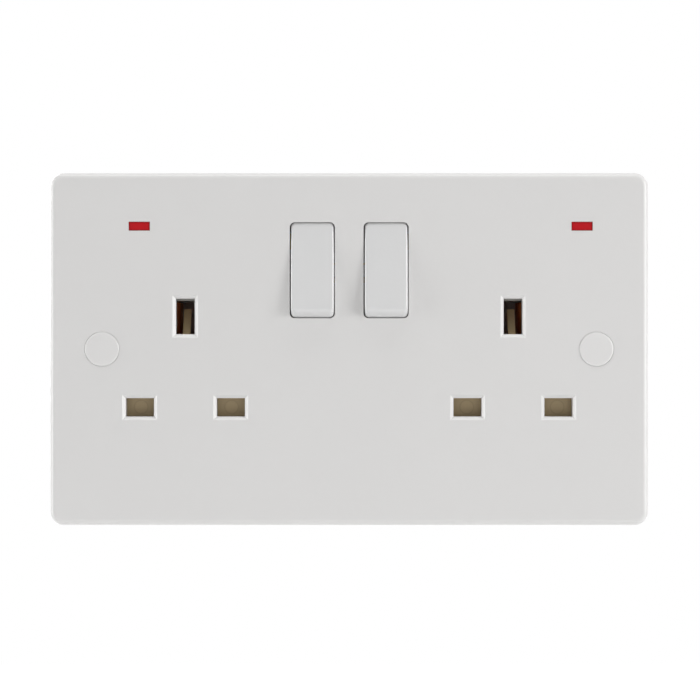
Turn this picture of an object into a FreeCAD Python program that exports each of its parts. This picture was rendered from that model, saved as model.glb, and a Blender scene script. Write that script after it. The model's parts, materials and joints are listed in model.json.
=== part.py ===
"""Twin switched socket outlet with neon indicators, for a wall box.

Millimetres. +X is to the right as one faces the plate, +Z is up and the plate
faces -Y. The origin is on the wall plane, midway between the two fixing holes.
Places along Y are given as depths, measured backwards from the plate's face.
"""

import FreeCAD
import Part

import math
import os

from FreeCAD import Vector

# Front plate
plate_width = 146.0
plate_height = 86.0
plate_depth = 9.0
plate_corner = 3.3
plate_edge_round = 1.5
face_wall = 2.5
skirt_wall = 2.2

# Fixing holes and their caps
fixing_edge_distance = 12.7
fixing_hole_radius = 1.9
fixing_pillar_radius = 5.5
fixing_flange = 3.2
head_recess_radius = 3.75
cap_radius = 4.1
cap_gap = 0.15
cap_thickness = 1.15
cap_proud = 0.15
cap_edge = 0.35
cap_plug_gap = 0.1
cap_plug_length = 2.4

# Pin holes of one socket
socket_pitch = 80.0
pin_pitch = 22.2
power_slot_width = 6.9
power_slot_height = 4.5
power_slot_z = -14.2
earth_slot_width = 4.6
earth_slot_height = 8.7
earth_slot_z = 8.0
slot_rim = 0.8
slot_rim_depth = 0.7
slot_guide_wall = 1.0
slot_guide_length = 2.2

# Rocker switches
switch_pitch = 18.0
switch_z = 19.25
rocker_opening_width = 11.0
rocker_opening_height = 23.4
rocker_opening_corner = 1.25
rocker_opening_lip = 0.5
rocker_side_gap = 0.3
rocker_end_gap = 0.36
rocker_pivot_depth = 6.0
rocker_rise = 1.0
rocker_tilt = 6.0
rocker_wall = 1.3
rocker_end_round = 2.0
rocker_side_bevel = 0.9
rocker_skirt = 5.0
rocker_lug_radius = 3.0
rocker_lug_foot = 5.5
trunnion_radius = 1.5
trunnion_clearance = 0.05
trunnion_end_play = 0.1
ear_wall = 1.6
ear_foot_half_height = 4.2
ear_tip_half_height = 3.2
ear_mouth = 2.5
ear_reach = 2.6

# Plunger and its spring, in the tube behind each rocker
plunger_tube_radius = 2.6
plunger_tube_length = 9.2
plunger_radius = 1.6
plunger_clearance = 0.15
plunger_body_length = 3.8
plunger_nose_radius = 1.1
plunger_gap = 0.05
plunger_spring_length = 5.2
plunger_spring_radius = 1.5

# See-saw contact, its bracket and the silver tips
seesaw_depth = 15.3
seesaw_ratio = 1.5
seesaw_width = 5.0
seesaw_thickness = 1.0
seesaw_half_length = 9.3
seesaw_lug_height = 1.0
seesaw_lug_gap = 0.1
seesaw_lug_end = 0.2
bracket_side_gap = 0.4
bracket_wall = 0.8
bracket_lip = 0.9
bracket_foot_height = 5.0
bracket_tip_height = 3.2
moving_tip_width = 2.2
tip_thickness = 0.55
tip_bevel = 0.2
tip_edge = 0.2
fixed_tip_width = 3.0
closed_gap = 0.08

# Neon indicators
left_neon_edge_distance = 21.8
right_neon_edge_distance = 16.2
neon_top_distance = 13.0
neon_width = 5.2
neon_height = 2.2
neon_gap = 0.05
neon_recess = 0.15
neon_flange = 0.6
neon_flange_thickness = 0.8
lamp_radius = 1.9
lamp_length = 9.5
lamp_pinch_radius = 1.4
lamp_pinch_length = 1.3
lamp_tip_radius = 0.9
lamp_tip_length = 1.4
lamp_gap = 0.1
cradle_wall = 1.2
cradle_half_height = 2.4
cradle_inset = 1.9
cradle_gap = 0.1
resistor_radius = 1.15
resistor_length = 6.3
resistor_offset = 3.0
lead_radius = 0.35
lead_pair_pitch = 1.9
lead_landing = 0.8
lead_foot_gap = 0.05

# Rear moulding
tray_side_margin = 9.0
tray_end_margin = 7.5
tray_corner = 5.0
tray_wall = 1.6
tray_floor = 1.3
tray_recess = 0.3
box_side_step = 5.5
box_end_step = 3.5
box_reach = 21.0
box_corner = 4.0
box_wall = 1.8
box_floor = 2.0
box_edge_bevel = 1.2
fixing_notch_gap = 1.0
rib_wall = 1.2
pocket_gap = 0.4
bar_side_gap = 0.3
chamber_front = 9.2
chamber_gap = 0.3
bar_rib_x = 14.5

# Two self-tapping screws above and two hooks below hold the moulding to the plate
boss_x = 41.5
boss_z = 19.5
boss_radius = 3.0
boss_hole_radius = 1.45
boss_length = 8.5
tube_radius = 3.4
tube_hole_radius = 1.6
tapping_screw_radius = 1.4
tapping_screw_length = 18.0
tapping_head_radius = 2.8
tapping_head_height = 1.9
tapping_head_seat = 24.0
tapping_head_gap = 0.3
hook_pitch = 26.0
hook_width = 8.0
hook_wall = 1.6
hook_lip = 1.1
hook_lip_front = 4.8
hook_lip_back = 6.8
hook_gap = 0.3

# Contacts and bars, in three layers behind the plate
bar_thickness = 0.8
earth_layer = 14.6
layer_pitch = 4.0
bar_width = 4.0
earth_bar_width = 4.8
clip_sheet = 0.6
power_clip_width = 6.4
power_clip_front = 9.8
power_clip_nip = 11.4
power_clip_grip = 1.8
power_clip_mouth = 2.8
power_clip_heel = 2.0
earth_clip_sheet = 0.8
earth_clip_front = 8.5
earth_clip_nip = 10.3
earth_clip_grip = 1.8
earth_clip_mouth = 2.8
earth_clip_heel = 1.9
earth_clip_back = 22.5
earth_clip_height = 8.9
earth_clip_web_front = 11.8
neutral_run_z = -15.3
neutral_low_z = -21.5
neutral_corner_x = 20.5
right_strip_x = 48.2
strip_end = 3.0

# Terminals
terminal_pitch = 11.0
terminal_width = 8.4
terminal_height = 10.0
terminal_depth = 9.6
terminal_front = 14.2
terminal_seat_gap = 0.2
wire_bore_radius = 2.5
wire_bore_length = 8.0
wire_bore_depth = 18.0
wire_entry_radius = 3.1
lug_gap = 0.05
lug_length = 1.2
bay_front = 13.0
bay_wall = 1.6
bay_rib = 1.2
terminal_screw_radius = 1.6
terminal_thread_gap = 0.15
terminal_screw_tip_gap = 0.2
terminal_screw_length = 6.5
terminal_head_radius = 2.6
terminal_head_height = 2.0
terminal_head_gap = 0.4

# Shutters
shutter_gap = 0.3
shutter_thickness = 1.8
shutter_half_width = 15.4
shutter_height = 6.4
stem_half_width = 3.6
stem_top_z = 3.4
tongue_half_width = 0.9
tongue_height = 6.5
tongue_lean = 5.4
tongue_wall = 1.2
rail_wall = 1.2
rail_top_z = 1.0
shutter_spring_radius = 1.8
shutter_spring_wire = 0.5
spring_seat_rise = 2.0
spring_seat_half_width = 3.0
spring_seat_front = 3.3
spring_peg_width = 1.6
spring_peg_length = 1.5

# What follows from the sizes above
box_back = plate_depth + box_reach
tray_back = plate_depth - tray_recess
tray_floor_front = tray_back - tray_floor
box_floor_front = box_back - box_floor
tray_width = plate_width - 2 * tray_side_margin
tray_height = plate_height - 2 * tray_end_margin
box_width = tray_width - 2 * box_side_step
box_height = tray_height - 2 * box_end_step
box_bottom = -box_height / 2
spring_seat_z = box_bottom + spring_seat_rise
fixing_pitch = plate_width - 2 * fixing_edge_distance
neon_z = plate_height / 2 - neon_top_distance
neutral_layer = earth_layer + layer_pitch
live_layer = neutral_layer + layer_pitch
slot_guide_back = face_wall + slot_guide_length
shutter_front = slot_guide_back + shutter_gap
shutter_back = shutter_front + shutter_thickness
shutter_middle = (shutter_front + shutter_back) / 2
shutter_bottom = power_slot_z - shutter_height / 2
shutter_top = shutter_bottom + shutter_height
pocket_front = shutter_back + shutter_gap
lamp_depth = face_wall + neon_flange_thickness + lamp_gap + lamp_radius
rocker_face = rocker_pivot_depth + rocker_rise
rocker_opening_radius = math.hypot(rocker_opening_height / 2, rocker_pivot_depth)
rocker_radius = rocker_opening_radius - rocker_end_gap
rocker_half_width = rocker_opening_width / 2 - rocker_side_gap
rocker_roof = rocker_wall - rocker_face
plunger_tube_mouth = rocker_roof + plunger_tube_length
plunger_shoulder = rocker_roof + plunger_spring_length
plunger_tip = seesaw_depth - seesaw_thickness / 2 - plunger_gap - rocker_pivot_depth
seesaw_tilt = math.radians(seesaw_ratio * rocker_tilt)
bracket_half_width = seesaw_width / 2 + bracket_side_gap + bracket_wall
tip_offset = seesaw_half_length - tip_edge - moving_tip_width / 2
tip_rise = seesaw_thickness / 2 + tip_thickness
fixed_tip_z = (
    switch_z + tip_offset * math.cos(seesaw_tilt) - tip_rise * math.sin(seesaw_tilt)
)
fixed_tip_front = (
    seesaw_depth + tip_rise * math.cos(seesaw_tilt)
    + (tip_offset + moving_tip_width / 2) * math.sin(seesaw_tilt) + closed_gap
)
terminal_bottom = box_bottom + box_wall + terminal_seat_gap
terminal_top = terminal_bottom + terminal_height
terminal_middle_z = (terminal_bottom + terminal_top) / 2
terminal_back = terminal_front + terminal_depth
terminal_half_width = terminal_width / 2
cell_half_width = terminal_half_width + terminal_seat_gap
lug_bottom = terminal_top - lug_length
bay_half_width = terminal_pitch + cell_half_width + bay_wall
boss_back = face_wall + boss_length
sides = {"left": -1, "right": 1}
sockets = {name: side * socket_pitch / 2 for name, side in sides.items()}
switches = {name: side * switch_pitch / 2 for name, side in sides.items()}
neons = {
    "left": left_neon_edge_distance - plate_width / 2,
    "right": plate_width / 2 - right_neon_edge_distance,
}
fixings = {name: side * fixing_pitch / 2 for name, side in sides.items()}
neutral_pins = {name: x - pin_pitch / 2 for name, x in sockets.items()}
live_pins = {name: x + pin_pitch / 2 for name, x in sockets.items()}
strips = {"left": live_pins["left"], "right": right_strip_x}
terminals = {"neutral": -terminal_pitch, "earth": 0.0, "live": terminal_pitch}
bosses = [(side * boss_x, boss_z) for side in sides.values()]


def point(x, z, depth):
    """A place on the object, from its depth behind the plate's face."""
    return Vector(x, depth - plate_depth, z)


def block(x_low, x_high, z_low, z_high, front, back):
    """A rectangular block between two depths."""
    corner = point(x_low, z_low, front)
    return Part.makeBox(x_high - x_low, back - front, z_high - z_low, corner)


def centred_block(x, z, width, height, front, back):
    """A block whose middle lies on the line through (x, z)."""
    return block(x - width / 2, x + width / 2, z - height / 2, z + height / 2, front, back)


def rod(x, z, radius, front, back):
    """A round rod that runs backwards."""
    return Part.makeCylinder(radius, back - front, point(x, z, front), Vector(0, 1, 0))


def rod_across(x_low, x_high, z, depth, radius):
    """A round rod along X."""
    return Part.makeCylinder(radius, x_high - x_low, point(x_low, z, depth), Vector(1, 0, 0))


def rod_upright(x, depth, z_low, z_high, radius):
    """A round rod along Z."""
    return Part.makeCylinder(radius, z_high - z_low, point(x, z_low, depth), Vector(0, 0, 1))


def joined(shapes):
    """One solid from several that meet, without seams."""
    first, *rest = shapes
    return first.multiFuse(rest).removeSplitter()


def carved(shape, cutters):
    """A solid less all its cutters."""
    return shape.cut(Part.makeCompound(cutters)).removeSplitter()


def edges_where(shape, test):
    """The edges whose end points and middle all pass a test."""
    chosen = []
    for edge in shape.Edges:
        middle = edge.valueAt((edge.FirstParameter + edge.LastParameter) / 2)
        places = [vertex.Point for vertex in edge.Vertexes] + [middle]
        if all(test(place) for place in places):
            chosen.append(edge)
    return chosen


def near(value, target):
    return abs(value - target) < 1e-4


def slab(width, height, corner, front, back):
    """A plate with rounded corners, centred on the origin's axis."""
    body = centred_block(0, 0, width, height, front, back)
    uprights = edges_where(
        body, lambda p: near(abs(p.x), width / 2) and near(abs(p.z), height / 2)
    )
    return body.makeFillet(corner, uprights)


def side_prism(outline, x_low, x_high):
    """A prism along X from corners given as (depth, z)."""
    corners = [point(x_low, z, depth) for depth, z in outline]
    face = Part.Face(Part.makePolygon(corners + corners[:1]))
    return face.extrude(Vector(x_high - x_low, 0, 0))


def band(centres, thickness):
    """The outline of a bent sheet: its centre line moved half a thickness each way.

    At a bend the offset corner lies on the bisector of the two straight parts.
    """
    half = thickness / 2
    normals = []
    for (a, b), (c, d) in zip(centres, centres[1:]):
        length = math.hypot(c - a, d - b)
        normals.append(((b - d) / length, (c - a) / length))
    ahead = [normals[0]] + normals
    behind = normals + [normals[-1]]
    one_side = []
    other_side = []
    for (a, b), (p, q), (r, s) in zip(centres, ahead, behind):
        scale = half / (1 + p * r + q * s)
        one_side.append((a + scale * (p + r), b + scale * (q + s)))
        other_side.append((a - scale * (p + r), b - scale * (q + s)))
    return one_side + other_side[::-1]


def bar_pieces(path, width, front, back):
    """The straight stretches of a bar, each half a width longer at both ends."""
    half = width / 2
    pieces = []
    for (a, b), (c, d) in zip(path, path[1:]):
        pieces.append(block(
            min(a, c) - half, max(a, c) + half, min(b, d) - half, max(b, d) + half, front, back
        ))
    return pieces


def flat_bar(path, width, front):
    """The pieces of a bar cut from sheet that follows corners given as (x, z)."""
    return bar_pieces(path, width, front, front + bar_thickness)


def slot_cutter(x, z, width, height, back):
    """What cuts a pin hole: a straight hole with a sloping rim."""
    def frame(grow, depth):
        half_x = width / 2 + grow
        half_z = height / 2 + grow
        corners = [(-1, -1), (1, -1), (1, 1), (-1, 1), (-1, -1)]
        return Part.makePolygon([point(x + i * half_x, z + j * half_z, depth) for i, j in corners])

    rim = Part.makeLoft([frame(slot_rim, 0), frame(0, slot_rim_depth)], True)
    hole = centred_block(x, z, width, height, slot_rim_depth / 2, back + 1)
    return joined([rim, hole])


def pin_slots(guide_back):
    """Every pin hole as (x, z, width, height, back of its guide)."""
    slots = []
    for name, x in sockets.items():
        for pin_x in (neutral_pins[name], live_pins[name]):
            slots.append((pin_x, power_slot_z, power_slot_width, power_slot_height, guide_back))
        slots.append((x, earth_slot_z, earth_slot_width, earth_slot_height, guide_back))
    return slots


def rocker_window(x):
    """A hole whose ends follow an arc about the rocker's pivot, behind a straight lip.

    The lip's rounded corners are the outline that shows at the face.
    """
    half_width = rocker_opening_width / 2
    half_height = rocker_opening_height / 2
    lip = centred_block(
        x, switch_z, rocker_opening_width, rocker_opening_height, -1, rocker_opening_lip
    )
    lip = lip.makeFillet(rocker_opening_corner, edges_where(
        lip, lambda p: near(abs(p.x - x), half_width) and near(abs(p.z - switch_z), half_height)
    ))
    disc = rod_across(
        x - half_width, x + half_width, switch_z, rocker_pivot_depth, rocker_opening_radius
    )
    behind = centred_block(
        x, switch_z, rocker_opening_width, 2 * rocker_opening_height, rocker_opening_lip,
        face_wall
    )
    return joined([lip, disc.common(behind)])


def rocker_ears(x):
    """The two ears behind the plate that a rocker's trunnions snap into."""
    tip = rocker_pivot_depth + ear_reach
    outline = [
        (face_wall - 0.5, switch_z - ear_foot_half_height),
        (face_wall, switch_z - ear_foot_half_height),
        (tip, switch_z - ear_tip_half_height),
        (tip, switch_z + ear_tip_half_height),
        (face_wall, switch_z + ear_foot_half_height),
        (face_wall - 0.5, switch_z + ear_foot_half_height),
    ]
    inner = rocker_opening_width / 2
    return [
        side_prism(outline, x + inner, x + inner + ear_wall),
        side_prism(outline, x - inner - ear_wall, x - inner),
    ]


def ear_cutters(x):
    """The trunnion hole through both ears, and the mouth it is pressed in by."""
    reach = rocker_opening_width / 2 + ear_wall + 0.1
    hole_radius = trunnion_radius + trunnion_clearance
    hole = rod_across(x - reach, x + reach, switch_z, rocker_pivot_depth, hole_radius)
    tip = rocker_pivot_depth + ear_reach + 0.1
    mouth = centred_block(x, switch_z, 2 * reach, ear_mouth, rocker_pivot_depth, tip)
    return [hole, mouth]


def hook_spans():
    """The x range of each hook below the tray."""
    middles = [side * hook_pitch / 2 for side in sides.values()]
    return [(middle - hook_width / 2, middle + hook_width / 2) for middle in middles]


def plate_hooks():
    """Two hooks below the tray, whose sloping lips snap into slots in its wall."""
    top = -tray_height / 2 - hook_gap
    outline = [
        (face_wall - 0.5, top - hook_wall), (hook_lip_back, top - hook_wall),
        (hook_lip_back, top), (hook_lip_front, top + hook_lip), (hook_lip_front, top),
        (face_wall - 0.5, top),
    ]
    return [side_prism(outline, low, high) for low, high in hook_spans()]


def make_front_plate():
    shell = slab(plate_width, plate_height, plate_corner, 0, plate_depth)
    front_edges = edges_where(shell, lambda p: near(p.y, -plate_depth))
    shell = shell.makeFillet(plate_edge_round, front_edges)
    inner_corner = plate_corner - skirt_wall
    hollow = slab(
        plate_width - 2 * skirt_wall, plate_height - 2 * skirt_wall, inner_corner,
        face_wall, plate_depth + 1
    )
    shell = shell.cut(hollow)

    # What stands up behind the face
    root = face_wall - 0.5
    grow = 2 * slot_guide_wall
    additions = []
    for x, z, width, height, back in pin_slots(slot_guide_back):
        additions.append(centred_block(x, z, width + grow, height + grow, root, back))
    for x in fixings.values():
        additions.append(rod(x, 0, fixing_pillar_radius, root, plate_depth))
    for x, z in bosses:
        additions.append(rod(x, z, boss_radius, root, boss_back))
    for x in switches.values():
        additions += rocker_ears(x)
    additions += plate_hooks()
    rail_inner = stem_half_width + shutter_gap
    rail_bottom = shutter_top + shutter_gap
    for x in sockets.values():
        for side in (-1, 1):
            rail_x = x + side * (rail_inner + rail_wall / 2)
            middle = (rail_top_z + rail_bottom) / 2
            additions.append(centred_block(
                rail_x, middle, rail_wall, rail_top_z - rail_bottom, root, shutter_back
            ))
    shell = joined([shell] + additions)

    # Holes and recesses
    cutters = [slot_cutter(*slot) for slot in pin_slots(slot_guide_back)]
    cap_recess = cap_thickness - cap_proud
    for x in fixings.values():
        cutters.append(rod(x, 0, fixing_hole_radius, -1, plate_depth + 1))
        cutters.append(rod(x, 0, head_recess_radius, -1, plate_depth - fixing_flange))
        cutters.append(rod(x, 0, cap_radius + cap_gap, -1, cap_recess))
    for x, z in bosses:
        hole_front = tapping_head_seat - tapping_screw_length - 0.5
        cutters.append(rod(x, z, boss_hole_radius, hole_front, boss_back + 1))
    for x in switches.values():
        cutters.append(rocker_window(x))
        cutters += ear_cutters(x)
    for x in neons.values():
        cutters.append(centred_block(x, neon_z, neon_width, neon_height, -1, face_wall + 1))
    return carved(shell, cutters)


def make_screw_cap(x):
    top = rod(x, 0, cap_radius, -cap_proud, cap_thickness - cap_proud)
    rim = edges_where(top, lambda p: near(p.y, -cap_proud - plate_depth))
    top = top.makeChamfer(cap_edge, rim)
    plug_back = cap_thickness - cap_proud + cap_plug_length
    return joined([top, rod(x, 0, head_recess_radius - cap_plug_gap, 0, plug_back)])


def bar_routes():
    """Each bar and strip as (path, width, front)."""
    half = bar_width / 2
    run_z = fixed_tip_z
    routes = {
        "neutral_bar": [
            ([(neutral_pins["left"], power_slot_z), (neutral_pins["left"], neutral_low_z),
              (-neutral_corner_x, neutral_low_z), (-neutral_corner_x, neutral_run_z),
              (neutral_pins["right"], neutral_run_z)], bar_width, neutral_layer),
            ([(terminals["neutral"], neutral_run_z), (terminals["neutral"], lug_bottom + half)],
             bar_width, neutral_layer),
        ],
        "earth_bar": [
            ([(sockets["left"], earth_bar_z()), (sockets["right"], earth_bar_z())],
             earth_bar_width, earth_layer),
            ([(terminals["earth"], earth_bar_z()), (terminals["earth"], lug_bottom + half)],
             bar_width, earth_layer),
        ],
        "live_bar": [
            ([(terminals["live"], lug_bottom + half), (terminals["live"], switch_z)],
             bar_width, live_layer),
            ([(switches["left"] - bracket_half_width + bracket_foot_height / 2, switch_z),
              (switches["right"] + bracket_half_width - bracket_foot_height / 2, switch_z)],
             bracket_foot_height, live_layer),
        ],
    }
    for name, side in sides.items():
        routes[name + "_switched_strip"] = [
            ([(live_pins[name], power_slot_z), (strips[name], power_slot_z),
              (strips[name], run_z), (switches[name] - side * (strip_end - half), run_z)],
             bar_width, neutral_layer),
        ]
    return routes


def earth_bar_z():
    """The middle of the earth bar, which runs just under the earth contacts."""
    return earth_slot_z - earth_slot_height / 2 - slot_guide_wall - earth_bar_width / 2


def make_bar(stretches):
    pieces = []
    for path, width, front in stretches:
        pieces += flat_bar(path, width, front)
    return joined(pieces)


def make_power_contact(x):
    """A folded clip whose two leaves grip a flat pin from above and below."""
    back = neutral_layer - clip_sheet / 2
    half = clip_sheet / 2
    upper = [
        (power_clip_front, power_clip_mouth + half),
        (power_clip_nip, power_clip_grip + half),
        (back, power_clip_heel + half),
    ]
    path = upper + [(depth, -z) for depth, z in reversed(upper)]
    path = [(depth, power_slot_z + z) for depth, z in path]
    return side_prism(band(path, clip_sheet), x - power_clip_width / 2, x + power_clip_width / 2)


def make_earth_contact(x):
    """Two upright leaves joined by a web along their lower edges."""
    web_bottom = earth_bar_z() + earth_bar_width / 2
    web_top = web_bottom + earth_clip_sheet
    half = earth_clip_sheet / 2
    leaf = [
        (earth_clip_front, earth_clip_mouth + half),
        (earth_clip_nip, earth_clip_grip + half),
        (earth_clip_back + 0.1, earth_clip_heel + half),
    ]
    shapes = []
    for side in (-1, 1):
        outline = band([(x + side * across, depth) for depth, across in leaf], earth_clip_sheet)
        corners = [point(across, web_bottom, depth) for across, depth in outline]
        face = Part.Face(Part.makePolygon(corners + corners[:1]))
        shapes.append(face.extrude(Vector(0, 0, earth_clip_height)))
    reach = earth_clip_heel + half
    shapes.append(block(
        x - reach, x + reach, web_bottom, web_top, earth_clip_web_front, earth_clip_back
    ))
    clip = joined(shapes)
    notch = block(
        x - 2 * reach, x + 2 * reach, web_bottom - 1, web_top, 0, earth_clip_web_front
    )
    beyond = block(
        x - 2 * reach, x + 2 * reach, web_bottom - 1, web_bottom + earth_clip_height + 1,
        earth_clip_back, earth_clip_back + 1
    )
    return carved(clip, [notch, beyond])


def make_terminal(name):
    x = terminals[name]
    body = block(
        x - terminal_half_width, x + terminal_half_width, terminal_bottom, terminal_top,
        terminal_front, terminal_back
    )
    layer = {"neutral": neutral_layer, "earth": earth_layer, "live": live_layer}[name]
    bore = rod_upright(
        x, wire_bore_depth, terminal_bottom - 1, terminal_bottom + wire_bore_length,
        wire_bore_radius
    )
    screw_hole = rod(
        x, terminal_middle_z, terminal_screw_radius + terminal_thread_gap,
        wire_bore_depth, terminal_back + 1
    )
    lug = centred_block(
        x, terminal_top, bar_width + 2 * lug_gap, 2 * (lug_length + lug_gap),
        layer - lug_gap, layer + bar_thickness + lug_gap
    )
    return carved(body, [bore, screw_hole, lug])


def screw(x, z, radius, tip, head_front, head_radius, head_height):
    """A cheese-head screw that is driven from behind."""
    shank = rod(x, z, radius, tip, head_front)
    return joined([shank, rod(x, z, head_radius, head_front, head_front + head_height)])


def make_terminal_screw(name):
    tip = wire_bore_depth + wire_bore_radius + terminal_screw_tip_gap
    return screw(
        terminals[name], terminal_middle_z, terminal_screw_radius, tip,
        tip + terminal_screw_length, terminal_head_radius, terminal_head_height
    )


def make_assembly_screws():
    tip = tapping_head_seat - tapping_screw_length
    return Part.makeCompound([
        screw(x, z, tapping_screw_radius, tip, tapping_head_seat, tapping_head_radius,
              tapping_head_height)
        for x, z in bosses
    ])


def pocket(x, z, half_width, half_height, back):
    """A pocket round a contact, as its outer block and the space inside it."""
    outer = centred_block(
        x, z, 2 * (half_width + rib_wall), 2 * (half_height + rib_wall),
        pocket_front, box_floor_front + 0.5
    )
    inner = centred_block(x, z, 2 * half_width, 2 * half_height, 0, back)
    return outer, inner


def make_rear_housing():
    outer_box = slab(box_width, box_height, box_corner, tray_floor_front, box_back)
    rear_edges = edges_where(outer_box, lambda p: near(p.y, box_reach))
    outer_box = outer_box.makeChamfer(box_edge_bevel, rear_edges)
    outer_tray = slab(tray_width, tray_height, tray_corner, face_wall, tray_back)
    inner_tray = slab(
        tray_width - 2 * tray_wall, tray_height - 2 * tray_wall, tray_corner - tray_wall,
        face_wall - 1, tray_floor_front
    )
    inner_box = slab(
        box_width - 2 * box_wall, box_height - 2 * box_wall, box_corner - box_wall,
        face_wall - 1, box_floor_front
    )
    notch_radius = fixing_pillar_radius + fixing_notch_gap
    guards = [
        rod(x, 0, notch_radius + box_wall, 0, box_back + 1) for x in fixings.values()
    ]
    notches = [rod(x, 0, notch_radius, 0, box_back + 1) for x in fixings.values()]
    cavity = joined([inner_tray, inner_box]).cut(Part.makeCompound(guards))
    shell = joined([outer_tray, outer_box]).cut(cavity)

    # Ribs, pockets and screw tubes that rise from the floor
    root = box_floor_front + 0.5
    wall_z = box_height / 2 - box_wall / 2
    chamber_x = (
        switches["right"] + rocker_opening_width / 2 + ear_wall + chamber_gap + rib_wall / 2
    )
    chamber_low = switch_z - rocker_opening_radius - rib_wall / 2
    chamber_middle = (wall_z + chamber_low) / 2
    chamber_height = wall_z - chamber_low
    additions = [centred_block(0, chamber_middle, rib_wall, chamber_height, chamber_front, root)]
    additions.append(centred_block(
        0, chamber_low, 2 * chamber_x + rib_wall, rib_wall, chamber_front, root
    ))
    for side in (-1, 1):
        additions.append(centred_block(
            side * chamber_x, chamber_middle, rib_wall, chamber_height, chamber_front, root
        ))
        rib_bottom = neutral_run_z - bar_width / 2
        additions.append(block(
            side * bar_rib_x - rib_wall / 2, side * bar_rib_x + rib_wall / 2,
            rib_bottom, chamber_low, bay_front, root
        ))
    pockets = []
    clip_half = power_clip_width / 2 + pocket_gap
    clip_height = power_clip_mouth + clip_sheet + pocket_gap
    power_floor = neutral_layer + bar_thickness
    for name, x in sockets.items():
        for pin_x in (neutral_pins[name], live_pins[name]):
            pockets.append(pocket(pin_x, power_slot_z, clip_half, clip_height, power_floor))
        web_bottom = earth_bar_z() + earth_bar_width / 2
        middle = web_bottom + earth_clip_height / 2
        earth_half = earth_clip_mouth + earth_clip_sheet + pocket_gap
        earth_height = earth_clip_height / 2 + pocket_gap
        pockets.append(pocket(x, middle, earth_half, earth_height, earth_clip_back))
        additions.append(block(
            x - spring_seat_half_width, x + spring_seat_half_width,
            -tray_height / 2 + tray_wall / 2, spring_seat_z, spring_seat_front,
            tray_floor_front + 0.5
        ))
        additions.append(spring_peg(x, spring_seat_z - 0.5, spring_seat_z + spring_peg_length))
    additions += [outer for outer, inner in pockets]
    additions += [rod(x, z, tube_radius, boss_back, root) for x, z in bosses]
    bay_top = terminal_top + terminal_seat_gap + bay_wall
    additions.append(block(
        -bay_half_width, bay_half_width, box_bottom + box_wall / 2, bay_top, bay_front, root
    ))
    for x in neons.values():
        for side in (-1, 1):
            cradle_x = x + side * (lamp_length / 2 - cradle_inset)
            additions.append(centred_block(
                cradle_x, neon_z, cradle_wall, 2 * cradle_half_height, lamp_depth, tray_back
            ))
    housing = joined([shell] + additions)

    # Spaces cut into them
    cutters = notches + [inner for outer, inner in pockets]
    for stretches in bar_routes().values():
        for path, width, front in stretches:
            channel = width + 2 * bar_side_gap
            cutters += bar_pieces(path, channel, 0, front + bar_thickness)
    cell_back = terminal_back
    cell_top = terminal_top + terminal_seat_gap
    bay_floor_back = cell_back + bay_wall
    for x in terminals.values():
        cutters.append(block(
            x - cell_half_width, x + cell_half_width, box_bottom + box_wall, cell_top,
            0, cell_back
        ))
        cutters.append(rod(
            x, terminal_middle_z, terminal_head_radius + terminal_head_gap,
            cell_back - 1, bay_floor_back + 1
        ))
        cutters.append(rod_upright(
            x, wire_bore_depth, box_bottom - 1, box_bottom + box_wall + 1, wire_entry_radius
        ))
    recess_edges = [-terminal_pitch / 2, terminal_pitch / 2]
    recess_starts = [-bay_half_width + bay_wall] + [x + bay_rib / 2 for x in recess_edges]
    recess_ends = [x - bay_rib / 2 for x in recess_edges] + [bay_half_width - bay_wall]
    for start, end in zip(recess_starts, recess_ends):
        cutters.append(block(start, end, box_bottom - 1, cell_top, bay_floor_back, box_back + 1))
    for low, high in hook_spans():
        cutters.append(block(
            low - hook_gap, high + hook_gap, -tray_height / 2 - 1,
            -tray_height / 2 + tray_wall + 0.1, hook_lip_front - hook_gap,
            hook_lip_back + hook_gap
        ))
    for x, z in bosses:
        cutters.append(rod(x, z, tube_hole_radius, boss_back - 1, box_back + 1))
        cutters.append(rod(
            x, z, tapping_head_radius + tapping_head_gap, tapping_head_seat, box_back + 1
        ))
    for x in neons.values():
        reach = lamp_length / 2 + 1
        cutters.append(rod_across(
            x - reach, x + reach, neon_z, lamp_depth, lamp_radius + cradle_gap
        ))
    return carved(housing, cutters)


def make_neon_lens(x):
    width = neon_width - 2 * neon_gap
    height = neon_height - 2 * neon_gap
    window = centred_block(x, neon_z, width, height, neon_recess, face_wall + 0.2)
    flange = centred_block(
        x, neon_z, neon_width + 2 * neon_flange, neon_height + 2 * neon_flange,
        face_wall, face_wall + neon_flange_thickness
    )
    return joined([window, flange])


def neon_inner_end(name):
    """Where a lamp's leads come out, at the end towards the middle of the plate."""
    toward = -sides[name]
    return neons[name] + toward * lamp_length / 2, toward


def make_neon_lamp(name):
    """A glass tube that narrows at its sealed tip and where its leads come out."""
    end_x, toward = neon_inner_end(name)
    outline = [
        (0, 0), (0, lamp_pinch_radius), (lamp_pinch_length, lamp_radius),
        (lamp_length - lamp_tip_length, lamp_radius), (lamp_length, lamp_tip_radius),
        (lamp_length, 0), (0, 0)
    ]
    corners = [
        point(end_x - toward * along, neon_z + radius, lamp_depth) for along, radius in outline
    ]
    face = Part.Face(Part.makePolygon(corners))
    return face.revolve(corners[0], Vector(1, 0, 0), 360)


def lead(corners):
    """A round wire along straight runs with mitred corners."""
    section = Part.Wire(Part.makeCircle(lead_radius, corners[0], corners[1] - corners[0]))
    mitred = 1
    return Part.makePolygon(corners).makePipeShell([section], True, False, mitred)


def neon_lead_heights():
    return neon_z - lead_pair_pitch / 2, neon_z + lead_pair_pitch / 2


def make_live_lead(name):
    end_x, toward = neon_inner_end(name)
    low, high = neon_lead_heights()
    landing_z = fixed_tip_z + bar_width / 2 - lead_landing
    return lead([
        point(end_x, low, lamp_depth), point(strips[name], low, lamp_depth),
        point(strips[name], landing_z, neutral_layer - lead_foot_gap)
    ])


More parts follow.
